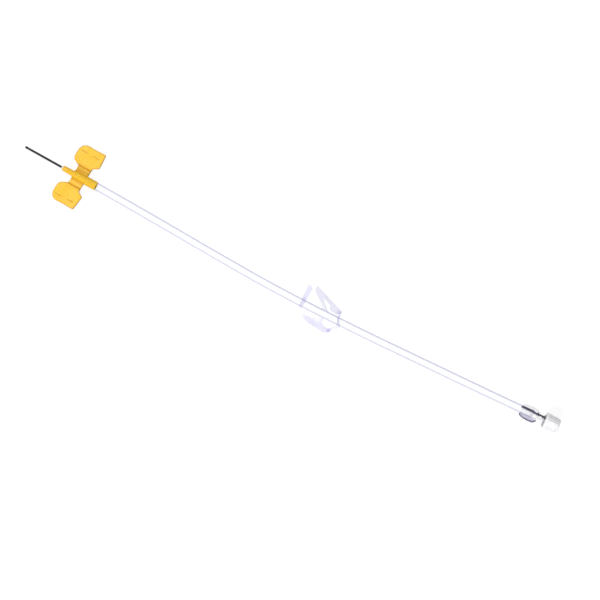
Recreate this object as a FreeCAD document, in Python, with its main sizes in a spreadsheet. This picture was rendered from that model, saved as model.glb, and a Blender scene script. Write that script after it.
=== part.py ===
import FreeCAD, Part
import math
import os

import Sketcher

# Winged fistula needle with its tube, pinch clamp, luer connector and cap, in millimetres.
# +X runs from the needle's tip to the connector, +Z is up, and the origin is on the hub's
# underside, below the needle's axis and midway along the collar.

V = FreeCAD.Vector
doc = FreeCAD.newDocument("fistula_needle")

# Driving sizes
SIZES = {
    # Steel cannula and its adhesive
    "cannula_od": 1.5,
    "cannula_bore": 1.1,
    "cannula_exposed": 26.2,
    "cannula_seated": 9.5,
    "bevel_length": 3.4,
    "lancet_length": 1.9,
    "lancet_turn_deg": 38,
    "back_eye_setback": 5.6,
    "back_eye_length": 1.1,
    "back_eye_width": 0.6,
    "bead_length": 1.0,
    "bead_od": 2.5,
    "bead_lip": 0.12,
    "glue_gap": 0.02,
    # Hub
    "nose_od": 3.15,
    "nose_root_od": 3.5,
    "nose_length": 6.6,
    "collar_width": 4.15,
    "root_width": 5.0,
    "socket_od": 5.3,
    "socket_length": 7.0,
    "socket_depth": 6.6,
    "socket_step": 0.3,
    "edge_break": 0.25,
    "bond_gap": 0.03,
    "flow_flare": 1.2,
    # Wings
    "neck_width": 8.2,
    "neck_thickness": 1.3,
    "hinge_gap": 0.05,
    "paddle_thickness": 1.9,
    "paddle_inner": 5.7,
    "paddle_flare": 8.2,
    "paddle_outer": 18.6,
    "paddle_dip": 0.35,
    "paddle_front": 9.15,
    "paddle_back": 7.5,
    "paddle_back_outer": 6.7,
    "paddle_heel": 9.6,
    "heel_step": 0.5,
    "lobe_inner_radius": 3.4,
    "lobe_outer_radius": 5.0,
    "corner_radius": 1.0,
    "heel_radius": 1.4,
    "paddle_edge_cut": 0.4,
    "slot_length": 4.4,
    "slot_width": 1.1,
    "slot_depth": 0.45,
    "slot_inset": 4.0,
    "slot_spread": 7.6,
    "slot_shift": 1.1,
    # Tube
    "tube_od": 4.7,
    "tube_bore": 3.2,
    "tube_end_gap": 0.1,
    # Pinch clamp: u runs along the tube, v across it
    "clamp_width": 9.5,
    "clamp_start": 10.9,
    "clamp_play": 0.15,
    "wall_thickness": 2.0,
    "post_thickness": 2.3,
    "post_height": 12.1,
    "post_lean": 0.3,
    "post_slope": 1.7,
    "hook_reach": 0.45,
    "hook_height": 9.3,
    "hook_face": 0.6,
    "corner_cut": 1.5,
    "toe_cut": 1.05,
    "bar_top": 5.4,
    "bar_thickness": 1.3,
    "grip_start": 6.6,
    "grip_ramp": 2.6,
    "grip_thickness": 3.2,
    "belly": 0.9,
    "heel_inset": 2.2,
    "jaw_start": 9.9,
    "jaw_peak": 15.3,
    "jaw_flat": 0.8,
    "frame_length": 24.0,
    "elbow_reach": 3.0,
    "elbow_level": 2.7,
    "elbow_wall": 1.9,
    "elbow_drop": 1.5,
    "strap_thickness": 0.85,
    "strap_bottom": 2.2,
    "strap_top": 4.6,
    "frame_rounding": 0.6,
    "lever_side_gap": 0.3,
    "lever_tip": 4.2,
    "lever_rise": 13.2,
    "lever_bar": 2.3,
    "lever_hinge_rise": 1.4,
    "catch_length": 3.8,
    "catch_lean": 0.9,
    "leg_start": 2.4,
    "leg_top": 9.6,
    "gusset_start": 16.4,
    "gusset_length": 1.2,
    "gusset_gap": 0.75,
    "foot_gap": 0.15,
    "foot_toe": 12.0,
    "foot_heel": 16.4,
    "foot_height": 0.7,
    "lever_rounding": 0.3,
    # Connector and cap: w runs along the axis from the tube's side
    "barrel_od": 5.4,
    "barrel_length": 10.4,
    "barrel_shoulder": 0.4,
    "seat_depth": 7.6,
    "connector_length": 22.4,
    "connector_start": 30.48,
    "fin_root_width": 6.4,
    "fin_rise": 2.4,
    "fin_rise_width": 8.4,
    "fin_swell": 6.2,
    "fin_width": 8.9,
    "fin_fall": 9.0,
    "fin_shoulder": 10.6,
    "fin_end": 11.2,
    "fin_shift": 0.35,
    "fin_thickness": 1.4,
    "waist_od": 4.0,
    "waist_bore": 2.6,
    "waist_end": 14.1,
    "luer_od": 6.3,
    "luer_shoulder": 0.8,
    "luer_mouth": 4.29,
    "luer_depth": 7.5,
    "luer_taper": 0.06,
    "lug_span": 7.5,
    "lug_width": 3.2,
    "lug_length": 1.8,
    "lug_round": 0.3,
    "cap_start": 15.1,
    "cap_length": 8.7,
    "cap_rim_od": 9.5,
    "cap_end_od": 8.6,
    "cap_rim_length": 1.3,
    "cap_bore": 7.9,
    "cap_end_wall": 1.2,
    "spigot_length": 6.6,
    "spigot_gap": 0.02,
    "cap_rib_count": 22,
    "cap_rib_depth": 0.28,
    "cap_groove_width": 0.62,
}

dims = doc.addObject("Spreadsheet::Sheet", "dims")
for row, (name, value) in enumerate(SIZES.items(), 1):
    dims.set(f"A{row}", name)
    dims.set(f"B{row}", str(value))
    dims.setAlias(f"B{row}", name)
doc.recompute()


HAIR = 1e-4


def number(expression):
    """The value of an expression on the sheet's cells."""
    return float(dims.evalExpression(expression))


# Places worked out from the sizes
AXIS_HEIGHT = "dims.socket_od / 2"
COLLAR_END = "dims.neck_width / 2"
NOSE_FRONT = f"-({COLLAR_END} + dims.nose_length)"
SOCKET_FRONT = f"({COLLAR_END} + dims.socket_step)"
SOCKET_END = f"({SOCKET_FRONT} + dims.socket_length)"
SOCKET_FLOOR = f"({SOCKET_END} - dims.socket_depth)"
CANNULA_END = f"({NOSE_FRONT} + dims.cannula_seated)"
ROOT = "dims.root_width / 2"
TUBE_RADIUS = "dims.tube_od / 2"


# Modelling helpers
def new_body(name):
    body = doc.addObject("PartDesign::Body", name)
    body.Label = name
    return body


def origin_feature(body, role):
    return next(item for item in body.Origin.OriginFeatures if item.Role == role)


def outline(body, name, plane, points):
    """A closed outline of straight edges; each corner starts with a pair of expressions."""
    sketch = body.newObject("Sketcher::SketchObject", name)
    sketch.AttachmentSupport = [(origin_feature(body, plane), "")]
    sketch.MapMode = "FlatFace"
    corners = [V(number(x), number(y), 0) for x, y, *_ in points]
    count = len(corners)
    for i in range(count):
        sketch.addGeometry(Part.LineSegment(corners[i], corners[(i + 1) % count]))
    for i in range(count):
        sketch.addConstraint(Sketcher.Constraint("Coincident", i, 2, (i + 1) % count, 1))
    for i, (x, y, *_) in enumerate(points):
        for kind, expression, value in (("DistanceX", x, corners[i].x), ("DistanceY", y, corners[i].y)):
            index = sketch.addConstraint(Sketcher.Constraint(kind, -1, 1, i, 1, value))
            sketch.setExpression(f"Constraints[{index}]", expression)
    return sketch


def circle(body, name, plane, radius, centre=("0", "0")):
    """A circle whose radius and centre are expressions."""
    sketch = body.newObject("Sketcher::SketchObject", name)
    sketch.AttachmentSupport = [(origin_feature(body, plane), "")]
    sketch.MapMode = "FlatFace"
    x, y = (number(part) for part in centre)
    sketch.addGeometry(Part.Circle(V(x, y, 0), V(0, 0, 1), number(radius)))
    size = sketch.addConstraint(Sketcher.Constraint("Radius", 0, number(radius)))
    sketch.setExpression(f"Constraints[{size}]", radius)
    for kind, expression, value in (("DistanceX", centre[0], x), ("DistanceY", centre[1], y)):
        index = sketch.addConstraint(Sketcher.Constraint(kind, -1, 1, 0, 3, value))
        sketch.setExpression(f"Constraints[{index}]", expression)
    return sketch


def extrude(body, kind, sketch, length, side="One side", reverse=False):
    """A pad or pocket of a sketch; length is an expression, or None to cut right through."""
    feature = body.newObject("PartDesign::" + kind, f"{sketch.Name}_{kind.lower()}")
    feature.Profile = sketch
    feature.SideType = side
    feature.Reversed = reverse
    if length is None:
        feature.Type = "ThroughAll"
    else:
        feature.setExpression("Length", length)
    doc.recompute()
    return feature


def turn(body, kind, sketch):
    """A revolution or groove of a sketch about the body's X axis."""
    feature = body.newObject("PartDesign::" + kind, f"{sketch.Name}_{kind.lower()}")
    feature.Profile = sketch
    feature.ReferenceAxis = (origin_feature(body, "X_Axis"), [""])
    feature.Angle = 360
    doc.recompute()
    return feature


def treat_edges(body, kind, name, base, picks, size):
    """A fillet or chamfer on the edges of base that picks accepts; size is an expression."""
    edges = [f"Edge{i}" for i, edge in enumerate(base.Shape.Edges, 1) if picks(edge)]
    feature = body.newObject("PartDesign::" + kind, name)
    feature.Base = (base, edges)
    feature.setExpression("Radius" if kind == "Fillet" else "Size", size)
    doc.recompute()
    return feature


def upright_at(x, y):
    """Accepts the edge that runs along Z through the corner at the expressions x and y."""
    corner = V(number(x), number(y), 0)

    def picks(edge):
        ends = [vertex.Point for vertex in edge.Vertexes]
        flat = [V(end.x, end.y, 0).distanceToPoint(corner) for end in ends]
        return len(ends) == 2 and max(flat) < HAIR
    return picks


def round_corners(body, name, base, corners):
    """Fillets on the upright edges of the corners that have a radius as a third expression."""
    feature = base
    rounded = [corner for corner in corners if len(corner) == 3]
    for radius in dict.fromkeys(corner[2] for corner in rounded):
        picks = [upright_at(x, y) for x, y, own in rounded if own == radius]
        feature = treat_edges(
            body, "Fillet", f"{name}_{radius.removeprefix('dims.')}", feature,
            lambda edge: any(pick(edge) for pick in picks), radius,
        )
    return feature


def lies_at_height(z):
    """Accepts an edge that lies whole in the plane at the height z."""
    height = number(z)

    def picks(edge):
        box = edge.BoundBox
        return max(abs(box.ZMin - height), abs(box.ZMax - height)) < HAIR
    return picks


# Cannula: a thin-walled tube with a main bevel, two lancet grinds and an eye in its underside
def lying_cylinder(name, radius, start, length):
    """A cylinder along X on the needle's axis; radius, start and length are expressions."""
    rod = doc.addObject("Part::Cylinder", name)
    rod.setExpression("Radius", radius)
    rod.setExpression("Height", length)
    centre = V(number(start), 0, number(AXIS_HEIGHT))
    rod.Placement = FreeCAD.Placement(centre, FreeCAD.Rotation(V(0, 1, 0), 90))
    return rod


def grinding_block(name, length, turn_deg):
    """A block whose lower face is the grind that ends at the tip and is length long."""
    width = 4 * number("dims.cannula_od")
    block = doc.addObject("Part::Box", name)
    block.Width = width
    block.Height = width
    block.setExpression("Length", f"4 * {length}")
    slope = math.degrees(math.atan2(number("dims.cannula_od"), number(length)))
    tip = V(number(CANNULA_TIP), 0, number(AXIS_HEIGHT))
    rise = FreeCAD.Rotation(V(0, 1, 0), -slope)
    start = rise.multVec(V(-number(length), -width / 2, 0)) - V(0, 0, number("dims.cannula_od") / 2)
    about_axis = FreeCAD.Rotation(V(1, 0, 0), turn_deg)
    block.Placement = FreeCAD.Placement(tip + about_axis.multVec(start), about_axis.multiply(rise))
    return block


def cut(name, base, tool):
    result = doc.addObject("Part::Cut", name)
    result.Base = base
    result.Tool = tool
    return result


CANNULA_TIP = f"({NOSE_FRONT} - dims.cannula_exposed)"
cannula_run = "dims.cannula_exposed + dims.cannula_seated"
wall = lying_cylinder("cannula_wall", "dims.cannula_od / 2", CANNULA_TIP, cannula_run)
grinds = doc.addObject("Part::MultiFuse", "cannula_grinds")
lancet_turn = number("dims.lancet_turn_deg")
grinds.Shapes = [
    grinding_block("main_bevel", "dims.bevel_length", 0),
    grinding_block("lancet_left", "dims.lancet_length", lancet_turn),
    grinding_block("lancet_right", "dims.lancet_length", -lancet_turn),
]
pointed = cut("cannula_pointed", wall, grinds)
lumen_start = f"{CANNULA_TIP} - dims.cannula_od"
lumen_run = f"{cannula_run} + 2 * dims.cannula_od"
lumen = lying_cylinder("cannula_lumen", "dims.cannula_bore / 2", lumen_start, lumen_run)
hollow = cut("cannula_hollow", pointed, lumen)
eye = doc.addObject("Part::Box", "back_eye")
eye.setExpression("Length", "dims.back_eye_length")
eye.setExpression("Width", "dims.back_eye_width")
eye.setExpression("Height", "dims.cannula_od")
eye.setExpression("Placement.Base.x", f"{CANNULA_TIP} + dims.back_eye_setback")
eye.setExpression("Placement.Base.y", "-dims.back_eye_width / 2")
eye.setExpression("Placement.Base.z", f"{AXIS_HEIGHT} - dims.cannula_od")
cannula = cut("cannula", hollow, eye)
cannula.Label = "cannula"
doc.recompute()

# Adhesive bead: a small cone in the corner between the cannula and the nose
bead = new_body("adhesive_bead")
bead_inner = "dims.cannula_od / 2 + dims.glue_gap"
bead_profile = outline(bead, "bead_profile", "XZ_Plane", [
    (f"{NOSE_FRONT} - dims.bead_length", bead_inner),
    (NOSE_FRONT, bead_inner),
    (NOSE_FRONT, "dims.bead_od / 2"),
    (f"{NOSE_FRONT} - dims.bead_length", f"{bead_inner} + dims.bead_lip"),
])
turn(bead, "Revolution", bead_profile)
bead.setExpression("Placement.Base.z", AXIS_HEIGHT)

# Hub: a turned nose, barrel and socket over a flat-bottomed collar with the wings' roots
hub = new_body("hub")
nose_tip = "dims.nose_od / 2"
barrel = "dims.collar_width / 2"
socket = "dims.socket_od / 2"
hub_profile = outline(hub, "hub_profile", "XZ_Plane", [
    (NOSE_FRONT, "0"),
    (NOSE_FRONT, f"{nose_tip} - dims.edge_break"),
    (f"{NOSE_FRONT} + dims.edge_break", nose_tip),
    (f"-{COLLAR_END}", "dims.nose_root_od / 2"),
    (f"-{COLLAR_END}", barrel),
    (f"{SOCKET_FRONT} - dims.edge_break / 2", barrel),
    (f"{SOCKET_FRONT} + dims.edge_break", socket),
    (f"{SOCKET_END} - dims.edge_break", socket),
    (SOCKET_END, f"{socket} - dims.edge_break / 2"),
    (SOCKET_END, "0"),
])
turn(hub, "Revolution", hub_profile)
floor_level = f"-({AXIS_HEIGHT})"
root_top = f"dims.neck_thickness - {AXIS_HEIGHT}"
collar_section = outline(hub, "collar_section", "YZ_Plane", [
    (f"-{ROOT}", floor_level),
    (ROOT, floor_level),
    (ROOT, root_top),
    (barrel, root_top),
    (barrel, "0"),
    (f"-{barrel}", "0"),
    (f"-{barrel}", root_top),
    (f"-{ROOT}", root_top),
])
extrude(hub, "Pad", collar_section, "dims.neck_width", "Symmetric")
cannula_seat = "dims.cannula_od / 2 + dims.glue_gap"
tube_seat = f"{TUBE_RADIUS} + dims.bond_gap"
hub_flow = outline(hub, "hub_flow", "XZ_Plane", [
    (NOSE_FRONT, "0"),
    (NOSE_FRONT, cannula_seat),
    (CANNULA_END, cannula_seat),
    (CANNULA_END, "dims.cannula_bore / 2"),
    (f"{CANNULA_END} + dims.flow_flare", "dims.tube_bore / 2"),
    (SOCKET_FLOOR, "dims.tube_bore / 2"),
    (SOCKET_FLOOR, tube_seat),
    (SOCKET_END, tube_seat),
    (SOCKET_END, "0"),
])
turn(hub, "Groove", hub_flow)
hub.setExpression("Placement.Base.z", AXIS_HEIGHT)


# Wings: a thin neck that starts at the hub's root and a thicker, rounded paddle
def make_wing(name, side):
    wing = new_body(name)
    corners = [
        (f"-{COLLAR_END}", "dims.paddle_inner"),
        ("-dims.paddle_front", "dims.paddle_flare", "dims.lobe_inner_radius"),
        ("-dims.paddle_front", "dims.paddle_outer", "dims.lobe_outer_radius"),
        ("0", "dims.paddle_outer - dims.paddle_dip"),
        ("dims.paddle_back_outer", "dims.paddle_outer", "dims.corner_radius"),
        ("dims.paddle_back", "dims.paddle_heel", "dims.heel_radius"),
        (f"{COLLAR_END} + dims.hinge_gap", "dims.paddle_flare - dims.heel_step", "dims.corner_radius"),
        (COLLAR_END, "dims.paddle_inner"),
    ]
    corners = [(x, f"{side} * ({y})", *radius) for x, y, *radius in corners]
    shape = outline(wing, f"{name}_paddle", "XY_Plane", corners)
    feature = extrude(wing, "Pad", shape, "dims.paddle_thickness")
    feature = round_corners(wing, name, feature, corners)
    top_edge = lies_at_height("dims.paddle_thickness")
    treat_edges(wing, "Chamfer", f"{name}_top_edge", feature, top_edge, "dims.paddle_edge_cut")
    start = f"{ROOT} + dims.hinge_gap"
    inside = "dims.paddle_inner + dims.paddle_edge_cut"
    neck = [
        (f"-{COLLAR_END}", start),
        (COLLAR_END, start),
        (COLLAR_END, inside),
        (f"-{COLLAR_END}", inside),
    ]
    neck = [(x, f"{side} * ({y})") for x, y in neck]
    shape = outline(wing, f"{name}_neck", "XY_Plane", neck)
    extrude(wing, "Pad", shape, "dims.neck_thickness")
    for index, along in enumerate((-1, 1)):
        middle = f"({along} * dims.slot_spread / 2 - dims.slot_shift)"
        across = f"{side} * (dims.paddle_outer - dims.slot_inset)"
        cutter = slot(wing, f"{name}_slot_{index + 1}", middle, across)
        extrude(wing, "Pocket", cutter, "dims.slot_depth")
    return wing


def slot(body, name, x, y):
    """A round-ended slot along X, sunk from the paddle's top; x and y are its middle."""
    sketch = body.newObject("Sketcher::SketchObject", name)
    sketch.AttachmentSupport = [(origin_feature(body, "XY_Plane"), "")]
    sketch.MapMode = "FlatFace"
    sketch.setExpression("AttachmentOffset.Base.x", x)
    sketch.setExpression("AttachmentOffset.Base.y", y)
    sketch.setExpression("AttachmentOffset.Base.z", "dims.paddle_thickness")
    end_radius = number("dims.slot_width") / 2
    reach = number("dims.slot_length") / 2 - end_radius
    low, high = math.pi / 2, 3 * math.pi / 2
    left = Part.Circle(V(-reach, 0, 0), V(0, 0, 1), end_radius)
    right = Part.Circle(V(reach, 0, 0), V(0, 0, 1), end_radius)
    sketch.addGeometry(Part.ArcOfCircle(left, low, high))
    sketch.addGeometry(Part.ArcOfCircle(right, -low, low))
    sketch.addGeometry(Part.LineSegment(V(-reach, -end_radius, 0), V(reach, -end_radius, 0)))
    sketch.addGeometry(Part.LineSegment(V(reach, end_radius, 0), V(-reach, end_radius, 0)))
    for first, first_end, second, second_end in ((0, 2, 2, 1), (2, 2, 1, 1), (1, 2, 3, 1), (3, 2, 0, 1)):
        sketch.addConstraint(Sketcher.Constraint("Tangent", first, first_end, second, second_end))
    for arc, place in ((0, -1), (1, 1)):
        index = sketch.addConstraint(Sketcher.Constraint("DistanceX", -1, 1, arc, 3, place * reach))
        sketch.setExpression(f"Constraints[{index}]", f"{place} * (dims.slot_length - dims.slot_width) / 2")
        sketch.addConstraint(Sketcher.Constraint("DistanceY", -1, 1, arc, 3, 0))
    index = sketch.addConstraint(Sketcher.Constraint("Radius", 0, end_radius))
    sketch.setExpression(f"Constraints[{index}]", "dims.slot_width / 2")
    return sketch


right_wing = make_wing("right_wing", 1)
left_wing = make_wing("left_wing", -1)

# Tube: its route in the room, from the socket's floor to the connector's seat
hub_level = number(AXIS_HEIGHT)
clamp_level = number("dims.clamp_width / 2")
end_level = number("dims.cap_rim_od / 2")
CLAMP_BEFORE = V(138.5, -1.4, clamp_level)
CLAMP_AFTER = V(188.5, 0.75, clamp_level)
LAST_CORNER = V(262, 5.41, end_level)
LAST_LEAN = 0.0717
ARC_SHARE = 0.45
last_direction = V(1, LAST_LEAN, 0).normalize()
seat_floor = number("dims.connector_start + dims.seat_depth - dims.tube_end_gap")
ROUTE = [
    V(number(SOCKET_FLOOR) + number("dims.tube_end_gap"), 0, hub_level),
    V(35, 0, hub_level),
    V(96, -1.2, 3.75),
    CLAMP_BEFORE,
    CLAMP_AFTER,
    V(222.5, 3.0, 3.7),
    LAST_CORNER,
    LAST_CORNER + last_direction * seat_floor,
]


def rounded_path(points):
    """Straight runs joined by tangent arcs, each as large as its two runs allow."""
    edges = []
    radii = []
    here = points[0]
    for before, corner, after in zip(points, points[1:], points[2:]):
        back = (before - corner).normalize()
        ahead = (after - corner).normalize()
        half_turn = (math.pi - back.getAngle(ahead)) / 2
        reach = ARC_SHARE * min(corner.distanceToPoint(before), corner.distanceToPoint(after))
        radius = reach / math.tan(half_turn)
        bisector = (back + ahead).normalize()
        middle = corner + bisector * (radius / math.cos(half_turn) - radius)
        start = corner + back * reach
        end = corner + ahead * reach
        edges.append(Part.LineSegment(here, start).toShape())
        edges.append(Part.Arc(start, middle, end).toShape())
        radii.append(radius)
        here = end
    edges.append(Part.LineSegment(here, points[-1]).toShape())
    return Part.Wire(edges), radii


path, radii = rounded_path(ROUTE)
print("tube arc radii, mm:", [round(radius) for radius in radii])
print("tube length, mm:", round(path.Length, 2))
tube_route = doc.addObject("Part::Feature", "tube_route")
tube_route.Shape = path


def swept(name, radius):
    """A round bar along the tube's route."""
    section = doc.addObject("Part::Circle", name + "_section")
    section.setExpression("Radius", radius)
    section.Placement = FreeCAD.Placement(ROUTE[0], FreeCAD.Rotation(V(0, 0, 1), ROUTE[1] - ROUTE[0]))
    sweep = doc.addObject("Part::Sweep", name)
    sweep.Sections = [section]
    sweep.Spine = (tube_route, [])
    sweep.Solid = True
    return sweep


tube = cut("tube", swept("tube_outside", TUBE_RADIUS), swept("tube_inside", "dims.tube_bore / 2"))
tube.Label = "tube"
doc.recompute()
ring_area = math.pi / 4 * (number("dims.tube_od") ** 2 - number("dims.tube_bore") ** 2)
print("tube volume over section times length:", round(tube.Shape.Volume / ring_area / path.Length, 5))

# Pinch clamp: one profile across the width, pierced by the tube, and a lever on a thin strap
clamp_direction = (CLAMP_AFTER - CLAMP_BEFORE).normalize()
clamp_turn = math.degrees(math.atan2(clamp_direction.y, clamp_direction.x))
clamp_place = FreeCAD.Placement(
    CLAMP_BEFORE + clamp_direction * number("dims.clamp_start"),
    FreeCAD.Rotation(V(0, 0, 1), clamp_turn),
)
strap_inner = "(dims.frame_length - dims.strap_thickness)"
jaw_top = f"-({TUBE_RADIUS} + dims.clamp_play)"
inner_bar = "-dims.bar_top"
thin_bar = "-(dims.bar_top + dims.bar_thickness)"
grip_bar = "-(dims.bar_top + dims.grip_thickness)"
belly_bar = "-(dims.bar_top + dims.grip_thickness + dims.belly)"
post = "dims.post_thickness"
hook_face = f"{post} + dims.hook_reach"
jaw_back = "dims.jaw_peak + dims.jaw_flat"
elbow = "(dims.frame_length + dims.elbow_reach)"
frame_soft = "dims.frame_rounding"
clamp_frame = new_body("clamp_frame")
frame_corners = [
    ("-dims.post_lean", "dims.post_height"),
    (post, "dims.post_height - dims.post_slope"),
    (hook_face, "dims.hook_height"),
    (hook_face, "dims.hook_height - dims.hook_face"),
    (post, "dims.hook_height - 2 * dims.hook_face"),
    (post, TUBE_RADIUS),
    ("dims.wall_thickness", f"-{TUBE_RADIUS}"),
    ("dims.wall_thickness", f"{inner_bar} + dims.corner_cut"),
    ("dims.wall_thickness + dims.corner_cut", inner_bar, frame_soft),
    ("dims.jaw_start", inner_bar),
    ("dims.jaw_peak", jaw_top),
    (jaw_back, jaw_top),
    (jaw_back, inner_bar),
    ("dims.frame_length - dims.elbow_reach", f"{inner_bar} - dims.elbow_drop", frame_soft),
    (f"{elbow} - dims.elbow_wall", "-dims.elbow_level", frame_soft),
    (strap_inner, "dims.strap_bottom"),
    (strap_inner, "dims.strap_top"),
    ("dims.frame_length", "dims.strap_top"),
    ("dims.frame_length", "dims.strap_bottom"),
    (elbow, "-dims.elbow_level", frame_soft),
    ("dims.frame_length - dims.heel_inset", grip_bar, frame_soft),
    ("dims.frame_length - 2 * dims.heel_inset", belly_bar, frame_soft),
    ("dims.grip_start + dims.grip_ramp", grip_bar, frame_soft),
    ("dims.grip_start", f"{grip_bar} + dims.grip_ramp / 3"),
    ("dims.grip_start - dims.grip_ramp", thin_bar),
    ("dims.toe_cut", f"{thin_bar} + dims.toe_cut / 3", frame_soft),
    ("0", f"{inner_bar} + dims.toe_cut"),
]
frame_shape = outline(clamp_frame, "frame_outline", "XY_Plane", frame_corners)
feature = extrude(clamp_frame, "Pad", frame_shape, "dims.clamp_width", "Symmetric")
round_corners(clamp_frame, "frame", feature, frame_corners)
tube_hole = circle(clamp_frame, "tube_hole", "YZ_Plane", f"{TUBE_RADIUS} + dims.clamp_play")
extrude(clamp_frame, "Pocket", tube_hole, None, "Symmetric")
clamp_frame.Placement = clamp_place

clamp_lever = new_body("clamp_lever")
lever_root = "dims.strap_top + dims.hinge_gap"
lever_end = "(dims.frame_length - dims.strap_thickness / 2)"
lever_end_rise = "(dims.strap_top + dims.lever_hinge_rise)"
bar_slope = f"((dims.lever_rise - {lever_end_rise}) / ({lever_end} - dims.lever_tip))"
foot = f"({TUBE_RADIUS} + dims.foot_gap)"
gusset = f"({TUBE_RADIUS} + dims.gusset_gap)"


def bar_underside(u):
    """How high the underside of the lever's bar lies at the expression u."""
    return f"dims.lever_rise - ({u} - dims.lever_tip) * {bar_slope} - dims.lever_bar"


lever_soft = "dims.lever_rounding"
lever_corners = [
    ("dims.lever_tip", "dims.lever_rise", lever_soft),
    (lever_end, lever_end_rise, lever_soft),
    ("dims.frame_length", f"{lever_end_rise} - dims.strap_thickness / 2"),
    ("dims.frame_length", lever_root),
    (strap_inner, lever_root),
    (f"{strap_inner} - dims.gusset_length", gusset, lever_soft),
    ("dims.gusset_start + dims.gusset_length", f"{gusset} + dims.gusset_length / 2", lever_soft),
    ("dims.gusset_start", bar_underside("dims.gusset_start"), lever_soft),
    ("dims.leg_top", bar_underside("dims.leg_top"), lever_soft),
    ("dims.foot_heel - dims.foot_height / 2", f"{foot} + dims.foot_height / 2"),
    ("dims.foot_heel", foot),
    ("dims.foot_toe", foot),
    ("dims.foot_toe + 2 * dims.foot_height", f"{foot} + dims.foot_height", lever_soft),
    ("dims.lever_tip + dims.leg_start", "dims.lever_rise - dims.catch_length - dims.catch_lean", lever_soft),
    ("dims.lever_tip + dims.catch_lean", "dims.lever_rise - dims.catch_length", lever_soft),
]
lever_shape = outline(clamp_lever, "lever_outline", "XY_Plane", lever_corners)
lever_width = "dims.clamp_width - 2 * dims.lever_side_gap"
feature = extrude(clamp_lever, "Pad", lever_shape, lever_width, "Symmetric")
round_corners(clamp_lever, "lever", feature, lever_corners)
clamp_lever.Placement = clamp_place

# Connector: turned outside with two flat fins and two lugs, and a bore with a luer cone
end_turn = math.degrees(math.atan2(last_direction.y, last_direction.x))
end_place = FreeCAD.Placement(
    LAST_CORNER + last_direction * number("dims.connector_start"),
    FreeCAD.Rotation(V(0, 0, 1), end_turn),
)
connector = new_body("connector")
connector_barrel = "dims.barrel_od / 2"
waist = "dims.waist_od / 2"
luer = "dims.luer_od / 2"
mouth = "dims.luer_mouth / 2"
connector_end = "dims.connector_length"
luer_floor = f"({connector_end} - dims.luer_depth)"
connector_profile = outline(connector, "connector_profile", "XZ_Plane", [
    ("0", "0"),
    ("0", f"{connector_barrel} - dims.edge_break"),
    ("dims.edge_break", connector_barrel),
    ("dims.barrel_length - dims.barrel_shoulder", connector_barrel),
    ("dims.barrel_length + dims.barrel_shoulder", waist),
    ("dims.waist_end", waist),
    ("dims.waist_end + dims.luer_shoulder", luer),
    (connector_end, luer),
    (connector_end, "0"),
])
turn(connector, "Revolution", connector_profile)
fin_steps = [
    ("0", "dims.fin_root_width"),
    ("dims.fin_rise", "dims.fin_rise_width"),
    ("dims.fin_swell", "dims.fin_width"),
    ("dims.fin_fall", "dims.fin_rise_width"),
    ("dims.fin_shoulder", "dims.fin_root_width"),
    ("dims.fin_end", "dims.waist_od"),
]
fin_outline = outline(connector, "fin_outline", "XY_Plane", [
    *[(along, f"{width} / 2 - dims.fin_shift") for along, width in fin_steps],
    *[(along, f"-{width} / 2 - dims.fin_shift") for along, width in reversed(fin_steps)],
])
extrude(connector, "Pad", fin_outline, "dims.fin_thickness", "Symmetric")
lug_outline = outline(connector, "lug_outline", "YZ_Plane", [
    ("-dims.lug_width / 2", "-dims.lug_span / 2 + dims.lug_round"),
    ("-dims.lug_width / 4", "-dims.lug_span / 2"),
    ("dims.lug_width / 4", "-dims.lug_span / 2"),
    ("dims.lug_width / 2", "-dims.lug_span / 2 + dims.lug_round"),
    ("dims.lug_width / 2", "dims.lug_span / 2 - dims.lug_round"),
    ("dims.lug_width / 4", "dims.lug_span / 2"),
    ("-dims.lug_width / 4", "dims.lug_span / 2"),
    ("-dims.lug_width / 2", "dims.lug_span / 2 - dims.lug_round"),
])
lug_outline.setExpression("AttachmentOffset.Base.z", connector_end)
extrude(connector, "Pad", lug_outline, "dims.lug_length", reverse=True)
connector_flow = outline(connector, "connector_flow", "XZ_Plane", [
    ("0", "0"),
    ("0", tube_seat),
    ("dims.seat_depth", tube_seat),
    ("dims.seat_depth", "dims.tube_bore / 2"),
    ("dims.barrel_length", "dims.waist_bore / 2"),
    (luer_floor, "dims.waist_bore / 2"),
    (luer_floor, f"{mouth} - dims.luer_depth * dims.luer_taper / 2"),
    (connector_end, mouth),
    (connector_end, "0"),
])
turn(connector, "Groove", connector_flow)
connector.Placement = end_place

# Cap: a tapered skirt with lengthwise grooves, closed at its end, and a luer spigot inside
cap = new_body("cap")
cap_end = "(dims.cap_start + dims.cap_length)"
cap_floor = f"({cap_end} - dims.cap_end_wall)"
rim = "dims.cap_rim_od / 2"
end_radius = "dims.cap_end_od / 2"
spigot_root = f"({mouth} - dims.spigot_gap)"
cap_profile = outline(cap, "cap_profile", "XZ_Plane", [
    ("dims.cap_start", "dims.cap_bore / 2"),
    ("dims.cap_start", f"{rim} - dims.edge_break"),
    ("dims.cap_start + dims.edge_break", rim),
    (f"{cap_end} - 2 * dims.edge_break", end_radius),
    (cap_end, f"{end_radius} - 2 * dims.edge_break"),
    (cap_end, "0"),
    (f"{cap_floor} - dims.spigot_length", "0"),
    (f"{cap_floor} - dims.spigot_length", f"{spigot_root} - dims.spigot_length * dims.luer_taper / 2"),
    (cap_floor, spigot_root),
    (cap_floor, "dims.cap_bore / 2"),
])
turn(cap, "Revolution", cap_profile)
groove_inner = f"{rim} - dims.cap_rib_depth"
groove_section = outline(cap, "groove_section", "YZ_Plane", [
    ("-dims.cap_groove_width / 4", groove_inner),
    ("dims.cap_groove_width / 4", groove_inner),
    ("dims.cap_groove_width / 2", f"{rim} + dims.cap_rib_depth"),
    ("-dims.cap_groove_width / 2", f"{rim} + dims.cap_rib_depth"),
])
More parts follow.
